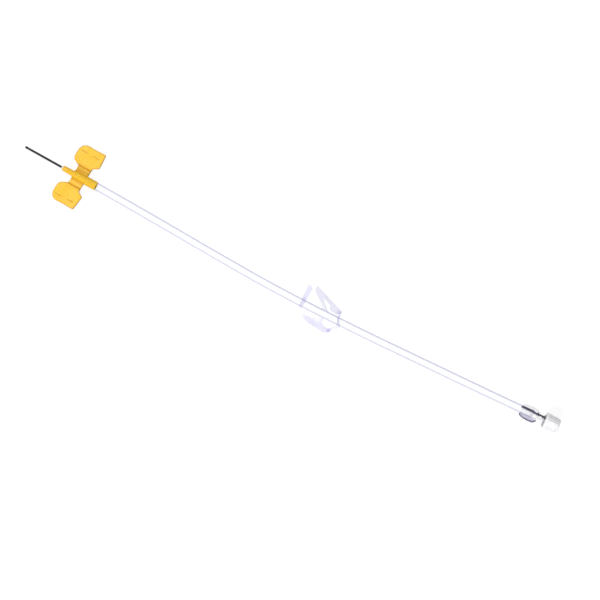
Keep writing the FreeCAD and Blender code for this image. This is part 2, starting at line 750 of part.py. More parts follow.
groove_section.setExpression("AttachmentOffset.Base.z", "dims.cap_start + dims.cap_rim_length")
groove = extrude(cap, "Pocket", groove_section, "dims.cap_length")
groove.UseCustomVector = True
fall = (number("dims.cap_rim_od") - number("dims.cap_end_od")) / 2
groove.Direction = V(number("dims.cap_length"), 0, -fall).normalize()
groove.AlongSketchNormal = False
doc.recompute()
ribs = cap.newObject("PartDesign::PolarPattern", "cap_ribs")
ribs.Originals = [groove]
ribs.Axis = (origin_feature(cap, "X_Axis"), [""])
ribs.Angle = 360
ribs.setExpression("Occurrences", "dims.cap_rib_count")
cap.Tip = ribs
cap.Placement = end_place
doc.recompute()

# Every sub-part is checked, then written under its own name
pieces = [
    cannula, bead, hub, left_wing, right_wing, tube, clamp_frame, clamp_lever, connector, cap,
]
for item in doc.Objects:
    if {"Invalid", "Error"} & set(item.State):
        raise RuntimeError(f"{item.Label} failed: {item.State}")
os.makedirs("parts", exist_ok=True)
for piece in pieces:
    shape = piece.Shape
    if shape.isNull() or not shape.isValid():
        raise RuntimeError(f"{piece.Label} has no sound shape")
    print(piece.Label, "solids", len(shape.Solids), "volume, mm3:", round(shape.Volume, 2))
    shape.exportStep(f"parts/{piece.Label}.step")
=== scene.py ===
import math

import bmesh
import bpy
import numpy as np
from mathutils import Matrix, Vector


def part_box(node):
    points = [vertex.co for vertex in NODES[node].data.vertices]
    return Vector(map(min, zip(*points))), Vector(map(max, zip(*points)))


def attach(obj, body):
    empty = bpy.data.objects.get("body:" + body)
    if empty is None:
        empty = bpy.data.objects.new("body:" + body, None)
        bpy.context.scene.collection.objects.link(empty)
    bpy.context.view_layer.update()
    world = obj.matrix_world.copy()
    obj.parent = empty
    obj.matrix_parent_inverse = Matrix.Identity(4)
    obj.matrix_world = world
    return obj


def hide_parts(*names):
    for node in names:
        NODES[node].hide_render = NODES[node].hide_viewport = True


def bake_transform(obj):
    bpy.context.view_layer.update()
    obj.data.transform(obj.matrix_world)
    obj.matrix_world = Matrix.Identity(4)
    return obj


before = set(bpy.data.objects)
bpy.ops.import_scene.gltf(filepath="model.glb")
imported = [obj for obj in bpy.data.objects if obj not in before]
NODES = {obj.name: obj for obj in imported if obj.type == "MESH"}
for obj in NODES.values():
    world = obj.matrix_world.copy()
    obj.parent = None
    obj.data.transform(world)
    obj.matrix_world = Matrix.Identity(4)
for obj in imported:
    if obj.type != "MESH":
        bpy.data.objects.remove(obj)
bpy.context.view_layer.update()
MM = 0.001


# Camera: straight above, with the needle's axis falling 29 degrees to the right
PHOTO_TURN = math.radians(29.19)
PHOTO_SIDE = 600
PIXELS_A_METRE = 1705.6
SCALE_HEIGHT = 0.0035
VIEW_CENTRE = (0.14839, 0.00012)
LENS, SENSOR = 85, 36
camera_data = bpy.data.cameras.new("camera")
camera_data.lens = LENS
camera_data.sensor_width = SENSOR
camera_data.clip_start = 0.01
camera_data.clip_end = 20
camera = bpy.data.objects.new("camera", camera_data)
camera.location = (*VIEW_CENTRE, SCALE_HEIGHT + LENS / SENSOR * PHOTO_SIDE / PIXELS_A_METRE)
camera.rotation_euler = (0, 0, PHOTO_TURN)
bpy.context.scene.collection.objects.link(camera)
bpy.context.scene.camera = camera
bpy.context.scene.view_settings.view_transform = "Standard"


# Node helpers
def new_material(name):
    """A material with an empty node tree."""
    material = bpy.data.materials.new(name)
    material.use_nodes = True
    tree = material.node_tree
    tree.nodes.clear()
    return material, tree


def add(tree, kind, inputs=None, **settings):
    """A node with its settings and its unlinked or linked inputs."""
    node = tree.nodes.new(kind)
    for key, value in settings.items():
        setattr(node, key, value)
    for key, value in (inputs or {}).items():
        if isinstance(value, bpy.types.NodeSocket):
            tree.links.new(value, node.inputs[key])
        else:
            node.inputs[key].default_value = value
    return node


def noise(tree, scale, detail=2.0, roughness=0.5, stretch=None):
    """Noise in object space, which is the row frame in metres."""
    place = add(tree, "ShaderNodeTexCoord").outputs["Object"]
    if stretch:
        place = add(tree, "ShaderNodeMapping", {"Vector": place, "Scale": stretch}).outputs[0]
    inputs = {"Vector": place, "Scale": scale, "Detail": detail, "Roughness": roughness}
    return add(tree, "ShaderNodeTexNoise", inputs).outputs[0]


def level(tree, factor, low, high, start=0.0, end=1.0):
    """A factor from start to end carried to the range low to high, and held there beyond."""
    node = add(tree, "ShaderNodeMapRange", {"Value": factor})
    node.inputs["From Min"].default_value = start
    node.inputs["From Max"].default_value = end
    node.inputs["To Min"].default_value = low
    node.inputs["To Max"].default_value = high
    return node.outputs[0]


# The middle range of a noise, which takes a colour or a factor from one end to the other
NOISE_LOW, NOISE_HIGH = 0.3, 0.7


def varied(tree, cloud, low, high):
    """A factor that goes from low to high with a noise."""
    return level(tree, cloud, low, high, NOISE_LOW, NOISE_HIGH)


def two_tone(tree, cloud, deep, light, start=NOISE_LOW, end=NOISE_HIGH):
    """A colour that goes from deep to light with a noise."""
    node = add(tree, "ShaderNodeValToRGB", {"Fac": cloud})
    stops = zip(node.color_ramp.elements, (start, end), (deep, light))
    for element, position, colour in stops:
        element.position = position
        element.color = (*colour, 1)
    return node.outputs[0]


def combined(tree, operation, first, second, clamped=False):
    """Two factors put together by a math node's operation."""
    node = add(tree, "ShaderNodeMath", {0: first, 1: second}, operation=operation)
    node.use_clamp = clamped
    return node.outputs[0]


def product(tree, first, second):
    """Two factors multiplied and held from 0 to 1."""
    return combined(tree, "MULTIPLY", first, second, clamped=True)


def mixed_colour(tree, factor, first, second):
    """The first colour turning into the second with the factor; each may be a socket."""
    node = add(tree, "ShaderNodeMix", data_type="RGBA")
    for key, value in (("Factor", factor), ("A", first), ("B", second)):
        if isinstance(value, bpy.types.NodeSocket):
            tree.links.new(value, node.inputs[key])
        else:
            node.inputs[key].default_value = (*value, 1)
    return node.outputs["Result"]


def mixed_shader(tree, factor, first, second):
    return add(tree, "ShaderNodeMixShader", {0: factor, 1: first, 2: second}).outputs[0]


def principled(tree, inputs):
    return add(tree, "ShaderNodeBsdfPrincipled", inputs).outputs[0]


def bump(tree, height, strength, distance):
    inputs = {"Height": height, "Strength": strength, "Distance": distance}
    return add(tree, "ShaderNodeBump", inputs).outputs[0]


def facing_away(tree):
    """0 where a surface faces the eye and 1 at its silhouette."""
    return add(tree, "ShaderNodeLayerWeight", {"Blend": 0.5}).outputs["Facing"]


def attribute(tree, name):
    return add(tree, "ShaderNodeAttribute", attribute_name=name).outputs["Fac"]


def finish_surface(tree, shader):
    add(tree, "ShaderNodeOutputMaterial", {"Surface": shader})


def near(tree, place, reach):
    """1 at a place on the floor plane, in metres, fading to 0 at reach from it, at any height."""
    here = add(tree, "ShaderNodeTexCoord").outputs["Object"]
    flat = add(tree, "ShaderNodeMapping", {"Vector": here, "Scale": (1, 1, 0)}).outputs[0]
    gap = add(tree, "ShaderNodeVectorMath", {0: flat, 1: (*place, 0)}, operation="DISTANCE")
    return level(tree, gap.outputs["Value"], 1.0, 0.0, 0.25 * reach, reach)


def let_lamps_through(tree, shader, tint):
    """Clear plastic that blocks neither lamps nor the light off the floor."""
    path = add(tree, "ShaderNodeLightPath").outputs
    through = add(tree, "ShaderNodeBsdfTransparent", {"Color": (*tint, 1)}).outputs[0]
    either = combined(tree, "MAXIMUM", path["Is Shadow Ray"], path["Is Diffuse Ray"])
    return mixed_shader(tree, either, shader, through)


# Materials
# The deeper amber that paints shade on the wings
AMBER_SHADE = (0.6, 0.3, 0.01)


def amber_plastic(name, deep, light):
    """Soft translucent amber plastic with a fine moulded grain, and a deeper amber painted as shade
    where the mesh's mark asks for it.
    """
    material, tree = new_material(name)
    cloud = noise(tree, 160, 3, 0.5)
    grain = noise(tree, 2600, 3, 0.6)
    body = two_tone(tree, cloud, deep, light)
    # painted shade: the mesh's mark deepens the amber, a little unevenly with the noise
    shade_depth = product(tree, attribute(tree, "painted_shade"), varied(tree, cloud, 0.5, 0.95))
    shader = principled(
        tree,
        {
            "Base Color": mixed_colour(tree, shade_depth, body, AMBER_SHADE),
            "Roughness": varied(tree, noise(tree, 420, 2), 0.3, 0.44),
            "IOR": 1.45,
            "Specular IOR Level": 0.3,
            "Subsurface Weight": 0.25,
            "Subsurface Radius": (1.0, 0.6, 0.12),
            "Subsurface Scale": 0.0012,
            "Normal": bump(tree, grain, 0.2, 0.00005),
        },
    )
    finish_surface(tree, shader)
    return material


def drawn_steel(name, deep, light, edge):
    """Steel with fine lines along X, and a painted reflection: dark face on and the colour edge where it
    turns away from the eye.
    """
    material, tree = new_material(name)
    lines = noise(tree, 900, 4, 0.6, (0.06, 1, 1))
    # painted reflection, lighter where the steel turns away from the eye
    edge_reflection = level(tree, facing_away(tree), 0.0, 1.0, 0.28, 0.7)
    colour = two_tone(tree, lines, deep, light, 0.35, 0.65)
    shader = principled(
        tree,
        {
            "Base Color": mixed_colour(tree, edge_reflection, colour, edge),
            "Metallic": 1.0,
            "Roughness": varied(tree, lines, 0.24, 0.4),
            "Normal": bump(tree, lines, 0.15, 0.00003),
        },
    )
    finish_surface(tree, shader)
    return material


def cured_adhesive():
    """Pale adhesive, partly clear and with an uneven gloss."""
    material, tree = new_material("cured_adhesive")
    cloud = noise(tree, 900, 3)
    shader = principled(
        tree,
        {
            "Base Color": two_tone(tree, cloud, (0.8, 0.76, 0.7), (0.92, 0.9, 0.86)),
            "Roughness": varied(tree, cloud, 0.12, 0.28),
            "Transmission Weight": 0.35,
            "IOR": 1.5,
            "Normal": bump(tree, cloud, 0.2, 0.00008),
        },
    )
    finish_surface(tree, let_lamps_through(tree, shader, (0.7, 0.68, 0.64)))
    return material


def clear_film(
    name, deep, light, cover, rise, shade_lean=(1.0, 1.0), rough=(0.05, 0.14), painted_spots=(), fall=None
):
    """Clear plastic: see-through where it faces the eye, with its colour gathered where it turns away.

    cover is how much it hides face on and edge on, and rise the two facings between which that
    grows. lean scales the cover from the piece's -Y side to its +Y side, as painted shade that
    darkens one side more than the other. Each of spots is a place, a reach and a factor for the
    cover there: painted shade where the factor is over 1 and painted light where it is under 1.
    fall is two facings and the factor that the cover falls to between them.
    """
    material, tree = new_material(name)
    cloud = noise(tree, 420, 3)
    shader = principled(
        tree,
        {
            "Base Color": two_tone(tree, cloud, deep, light),
            "Roughness": varied(tree, cloud, *rough),
            "IOR": 1.45,
            "Normal": bump(tree, noise(tree, 260, 2), 0.1, 0.0001),
        },
    )
    facing = facing_away(tree)
    share = level(tree, facing, *cover, *rise)
    if fall:
        start, end, least = fall
        share = product(tree, share, level(tree, facing, 1.0, least, start, end))
    # painted shade: one side of the piece darker than the other
    share = product(tree, share, level(tree, attribute(tree, "side"), *shade_lean, -1.0, 1.0))
    share = product(tree, share, varied(tree, cloud, 0.85, 1.15))
    # painted shade and painted light at spots
    for place, reach, factor in painted_spots:
        share = product(tree, share, level(tree, near(tree, place, reach), 1.0, factor))
    open_air = add(tree, "ShaderNodeBsdfTransparent", {"Color": (1, 1, 1, 1)}).outputs[0]
    mixed = mixed_shader(tree, share, open_air, shader)
    finish_surface(tree, let_lamps_through(tree, mixed, (0.97, 0.97, 0.985)))
    return material


def white_plastic(name, deep, light):
    """Dense white plastic with a satin face and a fine grain."""
    material, tree = new_material(name)
    cloud = noise(tree, 300, 3)
    shader = principled(
        tree,
        {
            "Base Color": two_tone(tree, cloud, deep, light),
            "Roughness": varied(tree, cloud, 0.36, 0.5),
            "IOR": 1.49,
            "Subsurface Weight": 0.12,
            "Subsurface Radius": (1.0, 0.9, 0.85),
            "Subsurface Scale": 0.0012,
            "Normal": bump(tree, noise(tree, 2400, 3), 0.2, 0.00005),
        },
    )
    finish_surface(tree, shader)
    return material


# Where the clamp and the connector lie along the tube, in millimetres
CLAMP_BEFORE = (138.5, -1.4, 4.75)
CLAMP_AFTER = (188.5, 0.75, 4.75)
CLAMP_START = 10.9
LAST_CORNER = (262, 5.41, 4.75)
CONNECTOR_DIRECTION = (1, 0.0717)
CONNECTOR_START = 30.48


def placed(origin, direction, start):
    """A matrix that carries local X on to direction, flat on the floor, from start mm beyond origin."""
    turn = Matrix.Rotation(math.atan2(direction[1], direction[0]), 4, "Z")
    return Matrix.Translation(Vector(origin) * MM) @ turn @ Matrix.Translation((start * MM, 0, 0))


CLAMP_PLACE = placed(CLAMP_BEFORE, Vector(CLAMP_AFTER) - Vector(CLAMP_BEFORE), CLAMP_START)
CONNECTOR_PLACE = placed(LAST_CORNER, CONNECTOR_DIRECTION, CONNECTOR_START)


def painted_clamp_spot(along, across, reach, factor):
    """A spot of painted shade, or of painted light where its factor is under 1, placed in millimetres
    along and across the tube from the clamp's start.
    """
    place = tuple((CLAMP_PLACE @ (Vector((along, across, 0)) * MM)).xy)
    return place, reach * MM, factor


# The materials in use; a film with low in its name is a lighter copy for the piece's -Y side, which
# shows clearer, with less painted shade than its +Y twin
AMBER_THIN = amber_plastic("amber_wing", (0.9, 0.54, 0.045), (0.94, 0.59, 0.085))
AMBER_THICK = amber_plastic("amber_hub", (0.8, 0.46, 0.012), (0.87, 0.52, 0.03))
# Near-black steel with a light edge colour, which together paint the needle's reflection
STEEL = drawn_steel("drawn_steel", (0.012, 0.012, 0.015), (0.035, 0.035, 0.04), (0.55, 0.55, 0.57))
ADHESIVE = cured_adhesive()
TUBING = clear_film(
    "clear_tubing", (0.36, 0.38, 0.62), (0.45, 0.47, 0.7),
    cover=(0.02, 0.56), rise=(0.08, 0.6), shade_lean=(0.76, 1.12),
)
# Spots of painted shade and painted light on the clamp's clear plastic
FRAME_PAINTED_SPOTS = [
    painted_clamp_spot(2.5, -4.5, 5.0, 0.1),
    painted_clamp_spot(13.0, -3.5, 4.0, 0.3),
    painted_clamp_spot(25.5, -5.5, 4.5, 0.3),
    painted_clamp_spot(21.8, -7.2, 1.6, 3.2),
    painted_clamp_spot(0.3, 2.9, 2.0, 1.8),
    painted_clamp_spot(25.6, 2.6, 2.2, 2.0),
    painted_clamp_spot(12.0, -8.2, 4.0, 1.25),
]
LEVER_PAINTED_SPOTS = [painted_clamp_spot(24.2, 4.6, 3.4, 2.2), painted_clamp_spot(11.0, 3.0, 4.0, 0.6)]
CLAMP_ROUGH = (0.12, 0.3)
FRAME = clear_film(
    "clamp_frame_plastic", (0.36, 0.32, 0.74), (0.46, 0.42, 0.82),
    cover=(0.18, 0.6), rise=(0.1, 0.7), rough=CLAMP_ROUGH, painted_spots=FRAME_PAINTED_SPOTS,
)
LEVER = clear_film(
    "clamp_lever_plastic", (0.32, 0.3, 0.58), (0.42, 0.39, 0.66),
    cover=(0.19, 0.65), rise=(0.08, 0.6), rough=CLAMP_ROUGH, painted_spots=LEVER_PAINTED_SPOTS,
)
FAINT = clear_film(
    "thin_clear", (0.5, 0.5, 0.8), (0.6, 0.6, 0.86), cover=(0.0, 0.15), rise=(0.5, 1.0)
)
CLEAR = clear_film(
    "clear_moulding", (0.3, 0.28, 0.38), (0.42, 0.4, 0.5),
    cover=(0.03, 0.4), rise=(0.2, 0.8), shade_lean=(1.2, 0.7),
)
# Near-black films that paint shade in the connector's seat, in its neck and along its fins' rims
SEAT_SHADE = ((0.035, 0.028, 0.07), (0.07, 0.055, 0.13))
SEAT_SHADED_SIDE = clear_film(
    "seat_painted_shade", *SEAT_SHADE,
    cover=(0.0, 1.0), rise=(0.0, 0.2), shade_lean=(-1.2, 2.0), fall=(0.5, 0.8, 0.35),
)
SEAT_LOW = clear_film("seat_painted_shade_low", *SEAT_SHADE, cover=(0.0, 0.45), rise=(0.35, 0.8))
NECK_SHADE = ((0.03, 0.027, 0.045), (0.05, 0.045, 0.07))
NECK = clear_film("neck_shade", *NECK_SHADE, cover=(0.12, 1.0), rise=(0.06, 0.22), shade_lean=(-1.2, 2.4))
NECK_LOW = clear_film("neck_shade_low", *NECK_SHADE, cover=(0.14, 0.0), rise=(0.0, 0.6))
FIN = clear_film(
    "fin_middle", (0.28, 0.25, 0.5), (0.36, 0.33, 0.58),
    cover=(0.22, 0.35), rise=(0.1, 0.8), shade_lean=(1.8, 1.2),
)
# painted shade along the fins' rims, heavier on the -Y side
FIN_RIM = clear_film(
    "fin_rim_painted_shade", (0.04, 0.033, 0.1), (0.07, 0.055, 0.16),
    cover=(0.5, 1.0), rise=(0.0, 0.5), shade_lean=(1.1, 0.22),
)
# A lighter steel that paints a highlight on the cannula's bevel
BEVEL_HIGHLIGHT = drawn_steel("bevel_painted_highlight", (0.2, 0.2, 0.21), (0.4, 0.4, 0.41), (0.6, 0.6, 0.62))
WHITE = white_plastic("white_plastic", (0.93, 0.92, 0.93), (0.965, 0.958, 0.965))
# A greyer white that paints shade on the cap
WHITE_SHADE = white_plastic("white_painted_shade", (0.64, 0.63, 0.64), (0.71, 0.7, 0.71))


# Mesh helpers
def new_object(name, data):
    made = bpy.data.objects.new(name, data)
    bpy.context.scene.collection.objects.link(made)
    return made


def mesh_from(name, vertices, faces, smooth=True):
    mesh = bpy.data.meshes.new(name)
    mesh.from_pydata([tuple(v) for v in vertices], [], faces)
    mesh.validate()
    mesh.update()
    if smooth:
        mesh.polygons.foreach_set("use_smooth", [True] * len(mesh.polygons))
    return mesh


def shape_of(thing):
    """The mesh that an object shows, from its curve or its modifiers."""
    return bpy.data.meshes.new_from_object(thing.evaluated_get(bpy.context.evaluated_depsgraph_get()))


def face_outwards(mesh):
    made = bmesh.new()
    made.from_mesh(mesh)
    bmesh.ops.recalc_face_normals(made, faces=made.faces)
    made.to_mesh(mesh)
    made.free()


def mark(mesh, name, values):
    """A value at each vertex, which the materials read by its name."""
    marks = mesh.attributes.new(name, "FLOAT", "POINT")
    marks.data.foreach_set("value", values)


def mark_side(mesh, values):
    """A mark from -1 to 1: how far each vertex lies to the piece's +Y side, which the films read to
    paint one side darker than the other.
    """
    mark(mesh, "side", np.clip(values, -1, 1))


def ring_ends(rings, around):
    """The two faces that close the first and the last of the rings of around points."""
    last = (rings - 1) * around
    return [tuple(range(around - 1, -1, -1)), tuple(range(last, last + around))]


def ring_sides(rings, around):
    """The faces that join each of the rings of around points to the next."""
    faces = []
    for i in range(rings - 1):
        for k in range(around):
            n = (k + 1) % around
            a, b = i * around, (i + 1) * around
            faces.append((a + k, a + n, b + n, b + k))
    return faces


def pairs_round(points):
    """Each point of a closed outline with the next one."""
    return zip(points, points[1:] + points[:1])


def rounded(corners, step_deg=6):
    """A closed outline with each corner turned by an arc of its own radius."""
    points = []
    count = len(corners)
    for i, (corner, radius) in enumerate(corners):
        corner = Vector(corner)
        if radius == 0:
            points.append(corner)
            continue
        before = (Vector(corners[i - 1][0]) - corner).normalized()
        after = (Vector(corners[(i + 1) % count][0]) - corner).normalized()
        half = before.angle(after) / 2
        centre = corner + (before + after).normalized() * (radius / math.sin(half))
        start = corner + before * (radius / math.tan(half))
        end = corner + after * (radius / math.tan(half))
        first = math.atan2(start.y - centre.y, start.x - centre.x)
        turn = math.atan2(end.y - centre.y, end.x - centre.x) - first
        turn = (turn + math.pi) % (2 * math.pi) - math.pi
        steps = max(2, round(abs(math.degrees(turn)) / step_deg))
        for k in range(steps + 1):
            angle = first + turn * k / steps
            points.append(centre + Vector((math.cos(angle), math.sin(angle))) * radius)
    return points


def local_faces(mesh, place):
    """Each face with its middle along, across and above the X axis of place, in millimetres."""
    to_place = place.inverted()
    for face in mesh.polygons:
        yield face, *((to_place @ face.center) / MM)


# Piece helpers
def dress(node, material):
    """A CAD node that keeps its shape and gets a material."""
    piece = NODES[node]
    piece.data.materials.clear()
    piece.data.materials.append(material)
    return piece


def finish_piece(name, mesh, materials, body, node):
    """A piece that rides on a body and stands in for a CAD node."""
    mesh.materials.clear()
    for material in materials:
        mesh.materials.append(material)
    piece = new_object(name, mesh)
    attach(piece, body)
    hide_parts(node)
    return piece


# Tube: a run of clear tubing along the route from the socket to the connector's seat
ROUTE = [
    (4.9, 0, 2.65),
    (35, 0, 2.65),
    (96, -1.2, 3.75),
    CLAMP_BEFORE,
    CLAMP_AFTER,
    (222.5, 3.0, 3.7),
    LAST_CORNER,
    (299.886, 8.126, 4.75),
]
TUBE_RADIUS = 2.35 * MM
AROUND = 48

route_curve = bpy.data.curves.new("tube_route", "CURVE")
route_curve.dimensions = "3D"
route_curve.resolution_u = 16
spline = route_curve.splines.new("NURBS")
spline.points.add(len(ROUTE) - 1)
for point, place in zip(spline.points, ROUTE):
    point.co = (*(value * MM for value in place), 1)
spline.order_u = 3
spline.use_endpoint_u = True
route_object = new_object("tube_route", route_curve)
bpy.context.view_layer.update()
line = shape_of(route_object)
tube_path = [vertex.co.copy() for vertex in line.vertices]
bpy.data.meshes.remove(line)
bpy.data.objects.remove(route_object)
bpy.data.curves.remove(route_curve)


def swept_tube(name, path, radius, around):
    """The tube's outer surface swept along path, closed by square ends inside its two seats."""
    vertices = []
    side = Vector((0, 1, 0))
    for i, place in enumerate(path):
        ahead = path[min(i + 1, len(path) - 1)] - path[max(i - 1, 0)]
        ahead.normalize()
        side = (side - ahead * side.dot(ahead)).normalized()
        up = ahead.cross(side)
        for k in range(around):
            angle = 2 * math.pi * k / around
            vertices.append(place + (side * math.cos(angle) + up * math.sin(angle)) * radius)
    mesh = mesh_from(name, vertices, ring_sides(len(path), around) + ring_ends(len(path), around))
    mesh.materials.append(TUBING)
    mesh.materials.append(FAINT)
    for face in mesh.polygons[-2:]:
        face.use_smooth = False
        face.material_index = 1
    return mesh


tube_mesh = swept_tube("tubing", tube_path, TUBE_RADIUS, AROUND)
turns = 2 * math.pi * np.arange(AROUND) / AROUND
mark_side(tube_mesh, np.tile(np.cos(turns), len(tube_path)))
tubing = new_object("tubing", tube_mesh)
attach(tubing, "hub_and_tube")
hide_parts("tube")


# Wings: one soft sheet each, with a thin neck and a thicker paddle, in millimetres
COLLAR_END = 4.1
ROOT, ROOT_SEAM = 2.5, 0.6
PADDLE_OUTER = 18.6
WING_CORNERS = [
    ((-COLLAR_END, ROOT), 0),
    ((-COLLAR_END, 5.7), 0.5),
    ((-9.15, 8.2), 3.4),
    ((-9.15, PADDLE_OUTER), 5.0),
    ((6.7, PADDLE_OUTER), 1.0),
    ((7.5, 9.6), 1.4),
    ((COLLAR_END + 0.05, 7.7), 1.0),
    ((COLLAR_END, ROOT), 0),
]
WING_LEAN, WING_STRETCH = 0.055, 1.015
OUTER_DIP, DIP_REACH, DIP_START = 0.35, 8.2, 12.0
NECK_HEIGHT, NECK_GAIN, NECK_RUN = 1.1, 0.25, (3.0, 5.6)
PADDLE_HEIGHT, STEP_RUN = 1.9, (5.75, 6.35)
DISH_DEPTH, DISH_RUN = 0.16, (0.8, 4.0)
STRIP_HEIGHT, STRIP_RUN = 0.12, (15.2, 18.0)
TOP_ROUNDING, BOTTOM_ROUNDING = 0.5, 0.25
SLOT_LENGTH, SLOT_WIDTH, SLOT_DEPTH = 4.4, 1.1, 0.45
SLOT_FLOOR, SLOT_LIP = 0.25, 0.1
SLOT_PLACES = ((-4.9, 14.6), (2.7, 14.6))
WING_COLUMNS, WING_ROWS = 58, 96
HAIR = 1e-6

# How strongly painted shade deepens the amber along the rim, at the step (strength, place, width) and in
# slots
RIM_SHADE, RIM_SHADE_RUN = 0.75, (0.25, 0.8)
STEP_SHADES = ((1.3, 6.0, 0.45), (0.35, 6.4, 1.3))
SLOT_SHADE, SLOT_SHADE_RUN = 0.45, (0.1, 0.9)


def distance_to(outline, x, y):
    """How far each point lies from the outline's nearest edge."""
    best = np.full(x.shape, 1e9)
    for a, b in pairs_round(outline):
        run = b - a
        along = ((x - a.x) * run.x + (y - a.y) * run.y) / max(run.length_squared, 1e-12)
        along = np.clip(along, 0, 1)
        best = np.minimum(best, np.hypot(x - a.x - run.x * along, y - a.y - run.y * along))
    return best


def smooth_step(value, start, end):
    """0 up to start and 1 from end on, with a smooth rise between them."""
    t = np.clip((value - start) / (end - start), 0, 1)
    return t * t * (3 - 2 * t)


def crossing(outline, height, pick):
    """The outermost x at which a level line meets the outline."""
    found = []
    for a, b in pairs_round(outline):
        low, high = min(a.y, b.y), max(a.y, b.y)
        if low <= height <= high and high - low > 1e-9:
            found.append(a.x + (b.x - a.x) * (height - a.y) / (b.y - a.y))
        elif low == high == height:
            found += [a.x, b.x]
    return pick(found)


def edge_spread(count, crowd):
    """Shares from 0 to 1 that lie closer together towards both ends."""
    t = np.linspace(0, 1, count)
    return (1 - crowd) * t + crowd * (1 - np.cos(np.pi * t)) / 2


def slot_distance(x, y, place):
    """How far each point lies from the middle line of the slot at place."""
    reach = (SLOT_LENGTH - SLOT_WIDTH) / 2
    return np.hypot(np.maximum(np.abs(x - place[0]) - reach, 0), y - place[1])


def rim_arc(edge, radius):
    """Height of a quarter circle that rises from the edge inwards."""
    return np.sqrt(np.maximum(radius**2 - (radius - np.clip(edge, 0, radius)) ** 2, 0))


def wing_top(x, y, edge):
    """Height of the wing's upper side: neck, step, dished paddle, raised outer strip and slots."""
    neck = NECK_HEIGHT + NECK_GAIN * smooth_step(y, *NECK_RUN)
    dish = DISH_DEPTH * smooth_step(edge, *DISH_RUN)
    paddle = PADDLE_HEIGHT - dish + STRIP_HEIGHT * smooth_step(y, *STRIP_RUN)
    height = neck + (paddle - neck) * smooth_step(y, *STEP_RUN)
    for place in SLOT_PLACES:
        aside = slot_distance(x, y, place)
        height = height - SLOT_DEPTH * (1 - smooth_step(aside, SLOT_FLOOR, SLOT_WIDTH / 2 + SLOT_LIP))
    return height - TOP_ROUNDING + rim_arc(edge, TOP_ROUNDING)


def wing_underside(edge):
    """Height of the wing's flat underside with its rounded rim."""
    return BOTTOM_ROUNDING - rim_arc(edge, BOTTOM_ROUNDING)


def wing_painted_shade(x, y, edge):
    """How much painted shade deepens the amber at each point: along its rim, at its step and in its
    slots.
    """
    rim = RIM_SHADE * (1 - smooth_step(edge, *RIM_SHADE_RUN))
    step = sum(much * np.exp(-(((y - place) / width) ** 2)) for much, place, width in STEP_SHADES)
    beside = [slot_distance(x, y, place) for place in SLOT_PLACES]
    slots = sum(SLOT_SHADE * (1 - smooth_step(aside, *SLOT_SHADE_RUN)) for aside in beside)
    return np.maximum(np.maximum(rim, step), slots)


def wing_grid(outline):
    """Rows of points across the outline, closer together towards its edges."""
    columns = edge_spread(WING_COLUMNS, 0.75)
    rows = edge_spread(WING_ROWS, 0.55)
    x = np.zeros((len(rows), len(columns)))
    y = np.zeros_like(x)
    for i, share in enumerate(rows):
        height = ROOT + (PADDLE_OUTER - ROOT) * share
        height = min(max(height, ROOT + HAIR), PADDLE_OUTER - HAIR)
        left, right = crossing(outline, height, min), crossing(outline, height, max)
        x[i] = left + (right - left) * columns
        y[i] = height
    return x, y


def sheet_faces(rows, columns):
    """The faces of an upper and a lower grid of points, and those that join their rims."""
    total = rows * columns
    faces = []
    for i in range(rows - 1):
        for k in range(columns - 1):
            a = i * columns + k
            quad = (a, a + 1, a + columns + 1, a + columns)
            faces.append(quad)
            faces.append(tuple(total + v for v in reversed(quad)))
    rim = list(range(columns))
    rim += [i * columns + columns - 1 for i in range(1, rows)]
    rim += [(rows - 1) * columns + k for k in range(columns - 2, -1, -1)]
    rim += [i * columns for i in range(rows - 2, 0, -1)]
    for a, b in pairs_round(rim):
        faces.append((b, a, total + a, total + b))
    return faces


def make_wing(name, side, body):
    """The wing on the +Y side for a side of 1 and on the -Y side for -1, with a thin neck and a thicker
    paddle.
    """
    outline = rounded(WING_CORNERS)
    x, y = wing_grid(outline)
    # the root joins the hub, so it keeps its full section there
    edge = np.where(y < ROOT + ROOT_SEAM, COLLAR_END - np.abs(x), distance_to(outline, x, y))
    top, bottom = wing_top(x, y, edge), wing_underside(edge)
    shade_depth = wing_painted_shade(x, y, edge).ravel()
    dip = OUTER_DIP * np.clip(1 - np.abs(x) / DIP_REACH, 0, 1) * smooth_step(y, DIP_START, PADDLE_OUTER)
    y = ROOT + (y - dip - ROOT) * WING_STRETCH
    x = x + side * WING_LEAN * (y - ROOT)
    vertices = []
    for z in (top, bottom):
        for a, b, c in zip(x.ravel(), y.ravel(), z.ravel()):
            vertices.append((a * MM, side * b * MM, c * MM))
    mesh = mesh_from(name, vertices, sheet_faces(*x.shape))
    face_outwards(mesh)
    mesh.materials.append(AMBER_THIN)
    # the painted shade at the rim, the step and the slots, which the amber reads
    mark(mesh, "painted_shade", np.concatenate([shade_depth, shade_depth]))
    wing = new_object(name, mesh)
    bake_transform(wing)
    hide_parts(body)


make_wing("wing_right", 1, "right_wing")
make_wing("wing_left", -1, "left_wing")


# Clamp: the frame and the lever are plates of the clamp's full width with soft edges
FRAME_CORNER, FRAME_EDGE = 0.8 * MM, 0.36 * MM
LEVER_CORNER, LEVER_EDGE = 0.6 * MM, 0.2 * MM
SHORT_RUN = 0.5 * MM
EDGE_STEPS = 4
HOLE_RADIUS = 2.66
HOLE_WALL = HOLE_RADIUS + 0.02
CLAMP_HOLE = [(-15, HOLE_RADIUS), (45, HOLE_RADIUS)]


